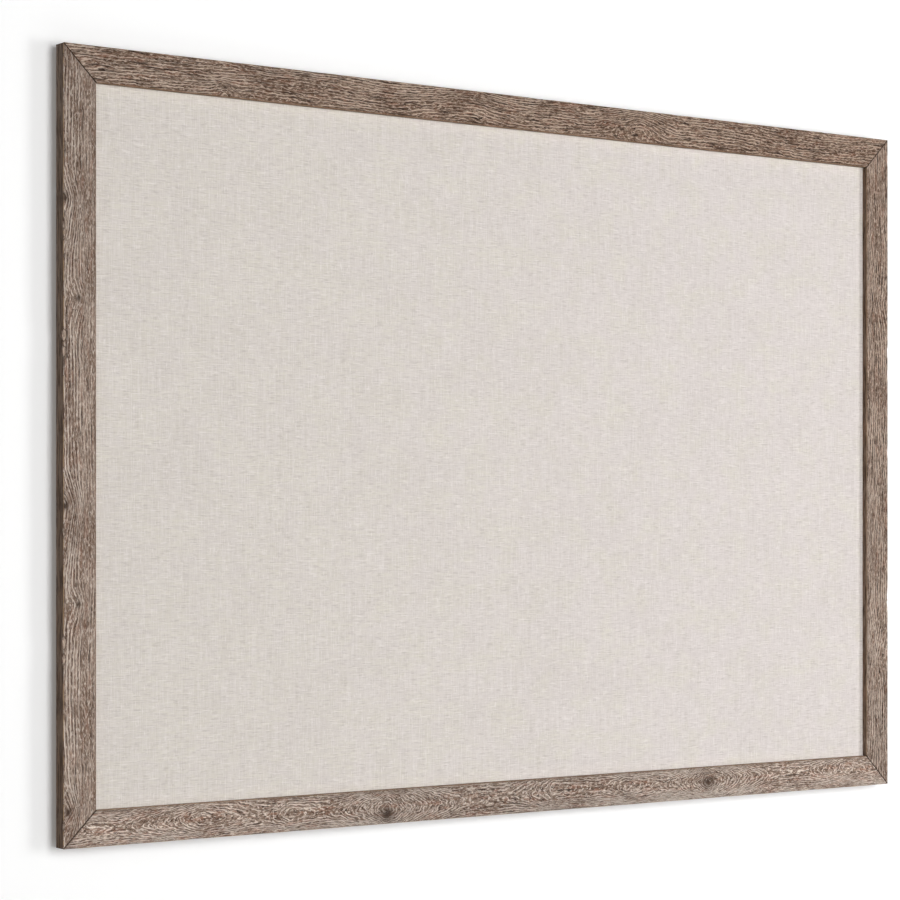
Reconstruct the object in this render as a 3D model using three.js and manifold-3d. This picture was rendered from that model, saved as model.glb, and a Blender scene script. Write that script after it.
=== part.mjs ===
// Wall-hung pin board. Linen is stretched over a cork core and turned round its edges. The wrapped core lies in
// the rabbet of a mitred wood frame, with a hardboard sheet behind it, and turn buttons screwed to the back of the
// frame hold both in. Two strap hangers with D rings carry the board, and four pads keep it off the wall.
// Lengths are millimetres. +X is to the right seen from the front, +Y goes into the wall, +Z is up. The origin is
// on the wall, midway between the two wall hooks, at the height at which the D rings bear on them.
import * as THREE from "three";
import { mergeVertices } from "three/addons/utils/BufferGeometryUtils.js";
import Module from "manifold-3d";

const wasm = await Module();
wasm.setup();

// Board, seen from the front
const boardWidth = 1000;
const boardHeight = 700;
const hangDrop = 120; // from the top edge down to the wall hooks

// Moulding of the frame
const faceWidth = 32;
const rabbetWidth = 7;
const lipDepth = 6; // from the front of the frame back to the rabbet
const outerArris = 1.2;
const innerArris = 0.8;
const backArris = 0.5;
const glueLine = 0.3;

// Clearances
const seatGap = 0.3; // between a piece and what it bears on
const layerGap = 0.15; // between the flat layers in the rabbet
const panelFit = 1; // from the wrapped core to the rabbet, on each side
const overrun = 1; // how far a cutting shape runs past what it cuts

// Layers in the rabbet
const linenThickness = 0.6;
const hemWidth = 30;
const hemSlit = 0.5; // between two hems at a folded corner
const coreThickness = 4;
const coreArris = 0.4;
const backingThickness = 2;
const backingArris = 0.3;
const backingRecess = 0.2; // from the back of the frame in to the backing board

// Corner joints: nails of V section, driven from behind across each mitre
const nailLeg = 5.5;
const nailThickness = 0.8;
const nailHeight = 7;
const nailPlaceShares = [0.26, 0.62]; // of the moulding's back face, measured from its outer edge

// Screws, one pattern throughout
const screwRadius = 1.5;
const screwLength = 10; // under the head
const screwTip = 2.4;
const screwHeadRadius = 3;
const screwHeadHeight = 1.8;
const screwHeadRimShare = 0.35; // straight part of the head's side, of its height

// Turn buttons
const buttonBossRadius = 5.5;
const buttonTailRadius = 4;
const buttonReach = 17; // from the screw to the middle of the tail
const buttonThickness = 1;
const buttonArris = 0.25;
const buttonRibHalfWidth = 1.4;
const buttonRibHeight = 0.5;
const buttonRibDraft = 0.35;
const buttonInset = 9; // from the rabbet out to the screw
const railButtonShares = [-0.36, 0, 0.36]; // of the rail's length, measured from its middle
const stileButtonShares = [-0.18, 0.18]; // of the stile's length, measured from its middle

// Strap hangers
const wireRadius = 1;
const ringHalfWidth = 8.5; // these four are measured along the middle of the wire
const ringShoulder = 4; // straight side of the D, up to its bow
const ringCorner = 2;
const ringButt = 0.4; // between the wire's ends, inside the knuckle
const strapThickness = 0.8;
const strapWidth = 10;
const strapEndMargin = 5.5; // from the lower screw to the strap's round end
const strapRingMargin = 1; // between the lower screw's head and the ring when it hangs down
const knuckleWrap = 205; // degrees to which the strap is rolled, past level

// Pads behind the corners
const bumperRadius = 5.5;
const bumperFaceRadius = 4.2;
const bumperHeight = 4.5;
const bumperSideShare = 0.55; // straight part of the side, of the height
const bumperInset = 45; // from the end of the rail

// Facets
const arrisSegments = 3;
const knuckleSegments = 8; // on each half turn
const wireSides = 8;
const ringSteps = 36;
const screwSides = 12;
const bumperSides = 20;
const buttonSegments = 6; // on each half turn

// Sizes that follow from those above
const backWidth = faceWidth - rabbetWidth;
const layers = linenThickness + coreThickness + linenThickness + backingThickness;
const layerGaps = 4 * layerGap;
const rabbetDepth = layers + layerGaps + backingRecess;
const mouldingDepth = lipDepth + rabbetDepth;
const backPlane = -(seatGap + bumperHeight);
const hardwarePlane = backPlane + seatGap;
const linenFront = backPlane - rabbetDepth + layerGap;
const coreFront = linenFront + linenThickness + layerGap;
const hemFront = coreFront + coreThickness + layerGap;
const backingFront = hemFront + linenThickness + layerGap;
const panelWidth = boardWidth - 2 * backWidth - 2 * panelFit;
const panelHeight = boardHeight - 2 * backWidth - 2 * panelFit;
const coreWidth = panelWidth - 2 * linenThickness - 2 * layerGap;
const coreHeight = panelHeight - 2 * linenThickness - 2 * layerGap;
const knuckleBore = wireRadius + seatGap;
const knuckleRadius = knuckleBore + strapThickness;
const ringOpening = ringShoulder + ringHalfWidth - wireRadius; // from the middle of the bar up to the wall hook
const ringHeight = ringOpening + 2 * wireRadius;
const upperScrewDrop = ringOpening / 2 + wireRadius / 2;
const lowerScrewDrop = ringHeight + strapRingMargin + screwHeadRadius;
const strapLength = lowerScrewDrop + strapEndMargin;
const hookRise = boardHeight / 2 - hangDrop; // from the middle of the board up to the wall hooks

// Finishes
const limedWood = new THREE.MeshStandardMaterial({ color: 0x8c7a6b, roughness: 0.8, metalness: 0 });
const linen = new THREE.MeshStandardMaterial({ color: 0xd8cfc8, roughness: 0.95, metalness: 0 });
const cork = new THREE.MeshStandardMaterial({ color: 0xb78d5f, roughness: 0.95, metalness: 0 });
const hardboard = new THREE.MeshStandardMaterial({ color: 0x6f4d34, roughness: 0.7, metalness: 0 });
const zincedSteel = new THREE.MeshStandardMaterial({ color: 0xb8bbbd, roughness: 0.35, metalness: 0.9 });
const brassedSteel = new THREE.MeshStandardMaterial({ color: 0xb99a58, roughness: 0.35, metalness: 0.9 });
const nailSteel = new THREE.MeshStandardMaterial({ color: 0x84878a, roughness: 0.45, metalness: 0.9 });
const padRubber = new THREE.MeshStandardMaterial({ color: 0x3a3937, roughness: 0.85, metalness: 0 });

// Closed geometry to a solid that can be cut and joined, and back

function solidFrom(geometry) {
  const bare = geometry.index ? geometry.toNonIndexed() : geometry.clone();
  bare.deleteAttribute("normal");
  bare.deleteAttribute("uv");
  const merged = mergeVertices(bare, 1e-4);
  return new wasm.Manifold(
    new wasm.Mesh({
      numProp: 3,
      vertProperties: merged.attributes.position.array,
      triVerts: new Uint32Array(merged.index.array),
    }),
  );
}

function geometryFrom(solid) {
  const mesh = solid.getMesh();
  const geometry = new THREE.BufferGeometry();
  geometry.setAttribute("position", new THREE.BufferAttribute(mesh.vertProperties, 3));
  geometry.setIndex(new THREE.BufferAttribute(mesh.triVerts, 1));
  geometry.computeVertexNormals();
  return geometry;
}

function piece(name, geometry, material) {
  const mesh = new THREE.Mesh(geometry, material);
  mesh.name = name;
  return mesh;
}

// A sketch laid on the back of the board: its X stays, its Y points down and it is extruded towards the wall.
function extrudeToWall(sketch, depth, options = {}) {
  const geometry = new THREE.ExtrudeGeometry(sketch, { depth, bevelEnabled: false, ...options });
  return geometry.rotateX(-Math.PI / 2);
}

function rectangle(width, height) {
  const sketch = new THREE.Shape();
  sketch.moveTo(-width / 2, -height / 2);
  sketch.lineTo(width / 2, -height / 2);
  sketch.lineTo(width / 2, height / 2);
  sketch.lineTo(-width / 2, height / 2);
  sketch.closePath();
  return sketch;
}

// A flat sheet with eased edges, its front at the given depth
function sheet(width, height, thickness, arris, front) {
  const sketch = rectangle(width - 2 * arris, height - 2 * arris);
  const eased = { bevelEnabled: true, bevelThickness: arris, bevelSize: arris, bevelSegments: 1 };
  return extrudeToWall(sketch, thickness - 2 * arris, eased).translate(0, front + arris, 0);
}

function cylinderToWall(radius, length, sides, x, y, z) {
  return new THREE.CylinderGeometry(radius, radius, length, sides).translate(x, y, z);
}

// Frame
// The four sides are built alike, as a bottom rail about the middle of the board, and turned into place. The
// start of each is the corner it shares with the side before it, going round from the bottom left.
const sides = [
  { name: "bottom_rail", label: "bottom", corner: "bottom_left", length: boardWidth, reach: boardHeight / 2 },
  { name: "right_stile", label: "right", corner: "bottom_right", length: boardHeight, reach: boardWidth / 2 },
  { name: "top_rail", label: "top", corner: "top_right", length: boardWidth, reach: boardHeight / 2 },
  { name: "left_stile", label: "left", corner: "top_left", length: boardHeight, reach: boardWidth / 2 },
];
sides.forEach((side, quarter) => {
  side.turn = -quarter * (Math.PI / 2);
  side.isRail = quarter % 2 === 0;
  side.endCorner = sides[(quarter + 1) % sides.length].corner;
  side.buttonShares = side.isRail ? railButtonShares : stileButtonShares;
});

// Section of the moulding: X goes from the outer edge in to the sight edge, Y from the back to the front.
function mouldingSection() {
  const section = new THREE.Shape();
  section.moveTo(backArris, 0);
  section.lineTo(backWidth, 0);
  section.lineTo(backWidth, rabbetDepth);
  section.lineTo(faceWidth, rabbetDepth);
  section.lineTo(faceWidth, mouldingDepth - innerArris);
  section.absarc(faceWidth - innerArris, mouldingDepth - innerArris, innerArris, 0, Math.PI / 2);
  section.lineTo(outerArris, mouldingDepth);
  section.absarc(outerArris, mouldingDepth - outerArris, outerArris, Math.PI / 2, Math.PI);
  section.lineTo(0, backArris);
  section.closePath();
  return section;
}

// The moulding is extruded to the side's length, and each end is then drawn back by how far in a point lies,
// which leaves a true mitre with half of the glue line.
function mitredMoulding(side) {
  const blank = new THREE.ExtrudeGeometry(mouldingSection(), {
    depth: side.length,
    bevelEnabled: false,
    curveSegments: arrisSegments,
  });
  const points = blank.attributes.position;
  const glueBack = glueLine / Math.SQRT2;
  for (let i = 0; i < points.count; i++) {
    const drawnBack = points.getX(i) + glueBack;
    points.setZ(i, points.getZ(i) > 0 ? side.length - drawnBack : drawnBack);
  }
  const inwards = new THREE.Vector3(0, 0, 1);
  const forwards = new THREE.Vector3(0, -1, 0);
  const along = new THREE.Vector3(1, 0, 0);
  const place = new THREE.Matrix4().makeBasis(inwards, forwards, along);
  place.setPosition(-side.length / 2, backPlane, -side.reach);
  return blank.applyMatrix4(place);
}

// Outline of a V nail with its point at the origin. Sketch Y points down once it lies on the board, so a leg that
// goes into the board's middle has a negative Y. The slot for it is the same outline, grown by the seat gap.
function nailOutline(grow) {
  const outside = -grow;
  const inside = nailThickness + grow;
  const end = nailLeg + grow;
  const outline = new THREE.Shape();
  outline.moveTo(outside, -outside);
  outline.lineTo(outside, -end);
  outline.lineTo(inside, -end);
  outline.lineTo(inside, -inside);
  outline.lineTo(end, -inside);
  outline.lineTo(end, -outside);
  outline.closePath();
  return outline;
}

function nailSlot(side, share, atStart) {
  const place = share * backWidth;
  const depth = nailHeight + 2 * seatGap;
  const slot = extrudeToWall(nailOutline(seatGap), depth + overrun);
  if (!atStart) {
    slot.rotateY(-Math.PI / 2);
  }
  const x = (atStart ? -1 : 1) * (side.length / 2 - place);
  return slot.translate(x, backPlane - depth, place - side.reach);
}

function pilotHole(x, z, intoWood) {
  const depth = intoWood + seatGap + overrun;
  const middle = backPlane + overrun - depth / 2;
  return cylinderToWall(screwRadius + seatGap, depth, screwSides, x, middle, z);
}

const buttonHeadPlane = hardwarePlane + buttonThickness + seatGap;
const strapHeadPlane = hardwarePlane + strapThickness + seatGap;

// The places of a side's turn buttons, and of the hanger's screws on a stile, in that side's own frame
function buttonPlaces(side) {
  return side.buttonShares.map((share) => ({
    x: share * side.length,
    z: backWidth - buttonInset - side.reach,
  }));
}

function hangerPlace(side) {
  const upwards = side.label === "right" ? 1 : -1;
  return { x: upwards * hookRise, z: backWidth / 2 - side.reach, upwards };
}

const strapScrewDrops = [upperScrewDrop, lowerScrewDrop];

function frameMember(side) {
  const cuts = [];
  for (const share of nailPlaceShares) {
    cuts.push(nailSlot(side, share, true), nailSlot(side, share, false));
  }
  for (const { x, z } of buttonPlaces(side)) {
    cuts.push(pilotHole(x, z, screwLength - (buttonHeadPlane - backPlane)));
  }
  if (!side.isRail) {
    const { x, z, upwards } = hangerPlace(side);
    for (const drop of strapScrewDrops) {
      const below = upwards * (ringOpening + drop);
      cuts.push(pilotHole(x - below, z, screwLength - (strapHeadPlane - backPlane)));
    }
  }
  const whole = solidFrom(mitredMoulding(side));
  return geometryFrom(cuts.reduce((wood, cut) => wood.subtract(solidFrom(cut)), whole));
}

// Screw: round head towards the wall, its underside at the origin
function screw() {
  const rim = screwHeadRimShare * screwHeadHeight;
  const crown = screwHeadHeight - rim;
  const profile = [
    new THREE.Vector2(0, -screwLength),
    new THREE.Vector2(screwRadius, screwTip - screwLength),
    new THREE.Vector2(screwRadius, 0),
    new THREE.Vector2(screwHeadRadius, 0),
    new THREE.Vector2(screwHeadRadius, rim),
    new THREE.Vector2(screwHeadRadius * Math.cos(Math.PI / 6), rim + crown * Math.sin(Math.PI / 6)),
    new THREE.Vector2(screwHeadRadius * Math.cos(Math.PI / 3), rim + crown * Math.sin(Math.PI / 3)),
    new THREE.Vector2(0, screwHeadHeight),
  ];
  return new THREE.LatheGeometry(profile, screwSides);
}

// Turn button
// The outline is a boss and a smaller tail joined by their common tangents. A rib is pressed up along it, and the
// button turns on its screw with the tail over the backing board.
function taperedOutline(nearRadius, farRadius, nearX, farX) {
  const tangent = Math.acos((nearRadius - farRadius) / (farX - nearX));
  const outline = new THREE.Shape();
  outline.absarc(nearX, 0, nearRadius, tangent, 2 * Math.PI - tangent);
  outline.absarc(farX, 0, farRadius, -tangent, tangent);
  outline.closePath();
  return outline;
}

function turnButton() {
  const bossRadius = buttonBossRadius - buttonArris;
  const tailRadius = buttonTailRadius - buttonArris;
  const outline = taperedOutline(bossRadius, tailRadius, 0, buttonReach);
  const bore = new THREE.Path();
  bore.absarc(0, 0, screwRadius + seatGap + buttonArris, 0, 2 * Math.PI, true);
  outline.holes.push(bore);
  const plate = extrudeToWall(outline, buttonThickness - 2 * buttonArris, {
    bevelEnabled: true,
    bevelThickness: buttonArris,
    bevelSize: buttonArris,
    bevelSegments: 1,
    curveSegments: buttonSegments,
  }).translate(0, buttonArris, 0);
  const ribStart = buttonBossRadius + buttonRibHalfWidth;
  const ribTop = buttonRibHalfWidth - buttonRibDraft;
  const ribOutline = taperedOutline(ribTop, ribTop, ribStart, buttonReach);
  const rib = extrudeToWall(ribOutline, buttonThickness / 2, {
    bevelEnabled: true,
    bevelThickness: buttonRibHeight,
    bevelSize: buttonRibDraft,
    bevelSegments: 1,
    curveSegments: buttonSegments / 2,
  }).translate(0, buttonThickness / 2, 0);
  return geometryFrom(solidFrom(plate).add(solidFrom(rib)));
}

// Hanger
// Its own frame has the wall hook at the origin, with Y = 0 on the wall. The strap's side view, a strip whose end
// is rolled round the wire, is crossed with its front view, a strip with a round end and two holes.
const barPlane = hardwarePlane + knuckleRadius;

function strapSideView() {
  const startAngle = -Math.PI / 2;
  const endAngle = THREE.MathUtils.degToRad(knuckleWrap);
  const view = new THREE.Shape();
  view.moveTo(-strapLength - overrun, 0);
  view.lineTo(0, 0);
  view.absarc(0, knuckleRadius, knuckleRadius, startAngle, endAngle);
  view.absarc(0, knuckleRadius, knuckleBore, endAngle, startAngle, true);
  view.lineTo(-strapLength - overrun, strapThickness);
  view.closePath();
  return view;
}

function strapFrontView() {
  const half = strapWidth / 2;
  const view = new THREE.Shape();
  view.moveTo(-half, -knuckleRadius - overrun);
  view.lineTo(half, -knuckleRadius - overrun);
  view.lineTo(half, strapLength - half);
  view.absarc(0, strapLength - half, half, 0, Math.PI);
  view.closePath();
  for (const drop of strapScrewDrops) {
    const hole = new THREE.Path();
    hole.absarc(0, drop, screwRadius + seatGap, 0, 2 * Math.PI, true);
    view.holes.push(hole);
  }
  return view;
}

function hangerStrap() {
  const rolled = new THREE.ExtrudeGeometry(strapSideView(), {
    depth: strapWidth + 2 * overrun,
    bevelEnabled: false,
    curveSegments: knuckleSegments,
  });
  const upwards = new THREE.Vector3(0, 0, 1);
  const toWall = new THREE.Vector3(0, 1, 0);
  const leftwards = new THREE.Vector3(-1, 0, 0);
  rolled.applyMatrix4(new THREE.Matrix4().makeBasis(upwards, toWall, leftwards));
  rolled.translate(strapWidth / 2 + overrun, 0, 0);
  const depth = 2 * knuckleRadius + 2 * overrun;
  const outline = extrudeToWall(strapFrontView(), depth, { curveSegments: buttonSegments });
  outline.translate(0, -overrun, 0);
  return geometryFrom(solidFrom(rolled).intersect(solidFrom(outline)));
}

// A flat path stood up, so that its Y becomes height
class UprightPath extends THREE.Curve {
  constructor(flat) {
    super();
    this.flat = flat;
  }
  getPoint(share, target = new THREE.Vector3()) {
    const { x, y } = this.flat.getPoint(share);
    return target.set(x, 0, y);
  }
}

// D ring: one bent wire whose ends meet inside the knuckle, with the middle of its bar at the origin
function ringWire() {
  const route = new THREE.Path();
  const cornerX = ringHalfWidth - ringCorner;
  route.moveTo(ringButt / 2, 0);
  route.lineTo(cornerX, 0);
  route.absarc(cornerX, ringCorner, ringCorner, -Math.PI / 2, 0);
  route.lineTo(ringHalfWidth, ringShoulder);
  route.absarc(0, ringShoulder, ringHalfWidth, 0, Math.PI);
  route.lineTo(-ringHalfWidth, ringCorner);
  route.absarc(-cornerX, ringCorner, ringCorner, Math.PI, 1.5 * Math.PI);
  route.lineTo(-ringButt / 2, 0);
  const section = new THREE.Shape();
  section.absarc(0, 0, wireRadius, 0, 2 * Math.PI);
  return new THREE.ExtrudeGeometry(section, {
    extrudePath: new UprightPath(route),
    steps: ringSteps,
    curveSegments: wireSides / 2,
  });
}

function hanger(label) {
  const group = new THREE.Group();
  const strap = piece("hanger_strap_" + label, hangerStrap(), zincedSteel);
  strap.position.set(0, hardwarePlane, -ringOpening);
  const ring = piece("d_ring_" + label, ringWire(), zincedSteel);
  ring.position.set(0, barPlane, -ringOpening);
  group.add(strap, ring);
  ["upper", "lower"].forEach((height, i) => {
    const fixing = piece("hanger_screw_" + label + "_" + height, screw(), zincedSteel);
    fixing.position.set(0, strapHeadPlane, -ringOpening - strapScrewDrops[i]);
    group.add(fixing);
  });
  return group;
}

// Linen cover: one cloth over the face of the core, round its four edges and in at the back as four hems, whose
// ends are mitred at the corners.
function linenCover() {
  const depth = hemFront + linenThickness - linenFront;
  const rounding = linenThickness / 2;
  const outside = extrudeToWall(
    rectangle(panelWidth - 2 * rounding, panelHeight - 2 * rounding),
    depth - 2 * rounding,
    { bevelEnabled: true, bevelThickness: rounding, bevelSize: rounding, bevelSegments: 2 },
  ).translate(0, linenFront + rounding, 0);
  const hollowDepth = coreThickness + 2 * layerGap;
  const hollowFront = linenFront + linenThickness;
  const hollow = extrudeToWall(
    rectangle(coreWidth + 2 * layerGap, coreHeight + 2 * layerGap),
    hollowDepth,
  ).translate(0, hollowFront, 0);
  const windowWidth = panelWidth - 2 * hemWidth;
  const windowHeight = panelHeight - 2 * hemWidth;
  const window = extrudeToWall(
    rectangle(windowWidth, windowHeight),
    hollowDepth / 2 + linenThickness + overrun,
  ).translate(0, hollowFront + hollowDepth / 2, 0);
  let cloth = solidFrom(outside).subtract(solidFrom(hollow)).subtract(solidFrom(window));
  const slitLength = (hemWidth - linenThickness) * Math.SQRT2;
  const slitInset = (hemWidth + linenThickness) / 2;
  for (const across of [-1, 1]) {
    for (const up of [-1, 1]) {
      const slit = new THREE.BoxGeometry(slitLength, linenThickness + 2 * overrun, hemSlit);
      slit.rotateY((-across * up * Math.PI) / 4);
      const x = across * (panelWidth / 2 - slitInset);
      const z = up * (panelHeight / 2 - slitInset);
      slit.translate(x, hemFront + linenThickness / 2 + overrun / 2, z);
      cloth = cloth.subtract(solidFrom(slit));
    }
  }
  return geometryFrom(cloth);
}

// Pad: flat on the frame, slightly domed at its edge, flat against the wall
function bumperPad() {
  const sideHeight = bumperSideShare * bumperHeight;
  const shoulder = bumperHeight - sideHeight;
  const easing = bumperRadius - bumperFaceRadius;
  const profile = [
    new THREE.Vector2(0, 0),
    new THREE.Vector2(bumperRadius, 0),
    new THREE.Vector2(bumperRadius, sideHeight),
    new THREE.Vector2(
      bumperFaceRadius + easing * Math.cos(Math.PI / 4),
      sideHeight + shoulder * Math.sin(Math.PI / 4),
    ),
    new THREE.Vector2(bumperFaceRadius, bumperHeight),
    new THREE.Vector2(0, bumperHeight),
  ];
  return new THREE.LatheGeometry(profile, bumperSides);
}

// The whole board, with its middle at the origin of this group and its hooks at the part's origin
const board = new THREE.Group();
board.position.z = -hookRise;

board.add(
  piece("linen_cover", linenCover(), linen),
  piece("cork_core", sheet(coreWidth, coreHeight, coreThickness, coreArris, coreFront), cork),
  piece(
    "backing_board",
    sheet(panelWidth, panelHeight, backingThickness, backingArris, backingFront),
    hardboard,
  ),
);

for (const side of sides) {
  const group = new THREE.Group();
  group.rotation.y = side.turn;
  group.add(piece(side.name, frameMember(side), limedWood));

  buttonPlaces(side).forEach(({ x, z }, i) => {
    const button = piece("turn_button_" + side.label + "_" + (i + 1), turnButton(), brassedSteel);
    button.position.set(x, hardwarePlane, z);
    button.rotation.y = -Math.PI / 2;
    const fixing = piece("turn_button_screw_" + side.label + "_" + (i + 1), screw(), brassedSteel);
    fixing.position.set(x, buttonHeadPlane, z);
    group.add(button, fixing);
  });

  ["outer", "inner"].forEach((which, i) => {
    const place = nailPlaceShares[i] * backWidth;
    const nail = piece(
      "v_nail_" + side.corner + "_" + which,
      extrudeToWall(nailOutline(0), nailHeight),
      nailSteel,
    );
    nail.position.set(place - side.length / 2, backPlane - seatGap - nailHeight, place - side.reach);
    group.add(nail);
  });

  if (side.isRail) {
    for (const [corner, along] of [[side.corner, -1], [side.endCorner, 1]]) {
      const pad = piece("bumper_" + corner, bumperPad(), padRubber);
      const x = along * (side.length / 2 - bumperInset);
      pad.position.set(x, hardwarePlane, backWidth / 2 - side.reach);
      group.add(pad);
    }
  } else {
    const hung = hanger(side.label);
    const { x, z } = hangerPlace(side);
    hung.position.set(x, 0, z);
    hung.rotation.y = -side.turn;
    group.add(hung);
  }
  board.add(group);
}

const pinBoard = new THREE.Group();
pinBoard.add(board);

export default pinBoard;
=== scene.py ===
import math

import bmesh
import bpy
from mathutils import Matrix, Vector, noise


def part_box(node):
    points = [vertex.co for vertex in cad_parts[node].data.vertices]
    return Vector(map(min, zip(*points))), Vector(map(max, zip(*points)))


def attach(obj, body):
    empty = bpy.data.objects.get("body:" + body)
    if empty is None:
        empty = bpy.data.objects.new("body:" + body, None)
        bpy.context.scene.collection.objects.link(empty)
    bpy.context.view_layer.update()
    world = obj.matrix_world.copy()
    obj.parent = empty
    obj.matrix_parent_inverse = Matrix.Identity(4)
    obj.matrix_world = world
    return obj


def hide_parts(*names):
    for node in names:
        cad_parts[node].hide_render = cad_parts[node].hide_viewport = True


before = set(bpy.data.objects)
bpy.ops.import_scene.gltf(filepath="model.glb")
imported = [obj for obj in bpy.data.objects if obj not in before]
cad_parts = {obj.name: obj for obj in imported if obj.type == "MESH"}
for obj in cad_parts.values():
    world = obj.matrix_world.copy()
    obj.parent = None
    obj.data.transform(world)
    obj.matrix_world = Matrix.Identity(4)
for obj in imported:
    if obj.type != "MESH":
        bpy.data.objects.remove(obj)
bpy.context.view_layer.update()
mm = 0.001

# Camera
# The board hangs on a wall and is seen from its left by a level camera. The lens is shifted, so the upright
# edges of the board stay upright.
lens = bpy.data.cameras.new("camera")
lens.sensor_width = 36
lens.lens = 105.7
lens.shift_y = 0.0839
camera = bpy.data.objects.new("camera", lens)
camera.location = (-1.5658, -2.0731, -0.2991)
camera.rotation_euler = (math.radians(90), 0, math.radians(-35.75))
bpy.context.collection.objects.link(camera)
bpy.context.scene.camera = camera
bpy.context.scene.view_settings.view_transform = "Standard"

# Wall, floor and light
# The wall is plain white paint and the floor a pale board well below. Both are seen from their front only, so
# that the back of the hung board can be looked at, and lamps on both sides light it softly.


def feed(tree, socket, value):
    if isinstance(value, bpy.types.NodeSocket):
        tree.links.new(value, socket)
    elif isinstance(value, tuple) and len(value) == 3 and socket.type == "RGBA":
        socket.default_value = (*value, 1)
    else:
        socket.default_value = value


def add(tree, kind, values, **settings):
    made = tree.nodes.new("ShaderNode" + kind)
    for name, value in settings.items():
        setattr(made, name, value)
    for name, value in values.items():
        feed(tree, made.inputs[name], value)
    return made


def calc(tree, operation, *values, clamp=False):
    made = tree.nodes.new("ShaderNodeMath")
    made.operation = operation
    made.use_clamp = clamp
    for socket, value in zip(made.inputs, values):
        feed(tree, socket, value)
    return made.outputs[0]


def seen_by_eye(tree):
    """1 for what the camera sees, straight or in a mirror or through glass, and 0 for the rest."""
    path = add(tree, "LightPath", {})
    straight = calc(tree, "ADD", path.outputs["Is Camera Ray"], path.outputs["Is Glossy Ray"])
    return calc(tree, "ADD", straight, path.outputs["Is Transmission Ray"], clamp=True)


def one_sided_paint(name, color, lift):
    paint = bpy.data.materials.new(name)
    paint.use_nodes = True
    tree = paint.node_tree
    tree.nodes.clear()
    coat = add(tree, "BsdfDiffuse", {"Color": color})
    glow = add(tree, "Emission", {"Strength": calc(tree, "MULTIPLY", seen_by_eye(tree), lift)})
    lit = add(tree, "AddShader", {0: coat.outputs[0], 1: glow.outputs[0]})
    clear = add(tree, "BsdfTransparent", {})
    behind = add(tree, "NewGeometry", {}).outputs["Backfacing"]
    shown = add(tree, "MixShader", {0: behind, 1: lit.outputs[0], 2: clear.outputs[0]})
    add(tree, "OutputMaterial", {"Surface": shown.outputs[0]})
    return paint


def stage_sheet(name, width, length, place, paint):
    bm = bmesh.new()
    bmesh.ops.create_grid(bm, x_segments=1, y_segments=1, size=0.5)
    bmesh.ops.transform(bm, matrix=place @ Matrix.Diagonal((width, length, 1, 1)), verts=bm.verts)
    mesh = bpy.data.meshes.new(name)
    bm.to_mesh(mesh)
    bm.free()
    mesh.materials.append(paint)
    sheet = bpy.data.objects.new(name, mesh)
    bpy.context.collection.objects.link(sheet)
    return sheet


upright = Matrix.Rotation(math.radians(90), 4, "X")
wall_paint = one_sided_paint("wall_paint", (1, 1, 1), 0.06)
wall = stage_sheet("wall", 12, 8, Matrix.Translation((0, 0.5 * mm, 1.2)) @ upright, wall_paint)
wall.visible_shadow = False
wall.visible_diffuse = False
floor_paint = one_sided_paint("floor_paint", (0.86, 0.86, 0.85), 0.55)
floor = stage_sheet("floor", 12, 12, Matrix.Translation((0, 0, -2.6)), floor_paint)
floor.visible_diffuse = False

air = bpy.data.worlds.new("air")
air.use_nodes = True
bpy.context.scene.world = air
air.node_tree.nodes.clear()
around = add(air.node_tree, "Background", {"Color": (1.0, 0.985, 0.96), "Strength": 0.13})
beyond = add(air.node_tree, "Background", {"Color": (1, 1, 1), "Strength": 1})
seen = add(
    air.node_tree,
    "MixShader",
    {0: seen_by_eye(air.node_tree), 1: around.outputs[0], 2: beyond.outputs[0]},
)
add(air.node_tree, "OutputWorld", {"Surface": seen.outputs[0]})


def soft_lamp(name, place, aim, width, height, power):
    lamp = bpy.data.lights.new(name, "AREA")
    lamp.shape = "RECTANGLE"
    lamp.size = width
    lamp.size_y = height
    lamp.energy = power
    holder = bpy.data.objects.new(name, lamp)
    holder.location = place
    holder.rotation_euler = (Vector(aim) - Vector(place)).to_track_quat("-Z", "Y").to_euler()
    bpy.context.collection.objects.link(holder)
    return holder


middle = (0, 0, -0.23)
soft_lamp("front_lamp", (0.2, -3.4, 0.15), middle, 1.3, 2.4, 70.5)
soft_lamp("side_lamp", (2.1, -2.0, -0.3), middle, 0.8, 1.2, 30)
soft_lamp("low_lamp", (0.2, -1.4, -1.7), middle, 1.6, 0.9, 4.5)
soft_lamp("left_lamp", (-2.6, -1.5, 0.25), middle, 0.8, 1.4, 10.5)
back_lamp = soft_lamp("back_lamp", (0.0, 3.6, 0.6), middle, 2.0, 2.0, 110)
back_lamp.data.cycles.max_bounces = 0

# Frame
# Four lengths of one flat oak moulding, mitred, glued and nailed from behind. The wood is brushed so that its
# pores stand open, stained brown and rubbed with lime wax, which stays in the pores as pale lines.


def tone(red, green, blue):
    """A colour as it looks on a screen, 0 to 255, made linear."""
    return tuple(((c / 255 + 0.055) / 1.055) ** 2.4 for c in (red, green, blue))


def finish_nodes(name, **values):
    """A new material with its tree and its shader, whose plain numbers are set on the shader itself."""
    made = bpy.data.materials.new(name)
    made.use_nodes = True
    tree = made.node_tree
    tree.nodes.clear()
    shader = add(tree, "BsdfPrincipled", {socket.replace("_", " "): v for socket, v in values.items()})
    add(tree, "OutputMaterial", {"Surface": shader.outputs[0]})
    return made, tree, shader


def blend(tree, share, under, over, how="MIX"):
    made = tree.nodes.new("ShaderNodeMix")
    made.data_type = "RGBA"
    made.blend_type = how
    for socket, value in ((made.inputs[0], share), (made.inputs[6], under), (made.inputs[7], over)):
        feed(tree, socket, value)
    return made.outputs[2]


def rise(tree, value, start, end, low=0.0, high=1.0):
    """Goes smoothly from low to high while value goes from start to end."""
    made = add(
        tree,
        "MapRange",
        {"Value": value, "From Min": start, "From Max": end, "To Min": low, "To Max": high},
        interpolation_type="SMOOTHSTEP",
    )
    return made.outputs[0]


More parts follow.
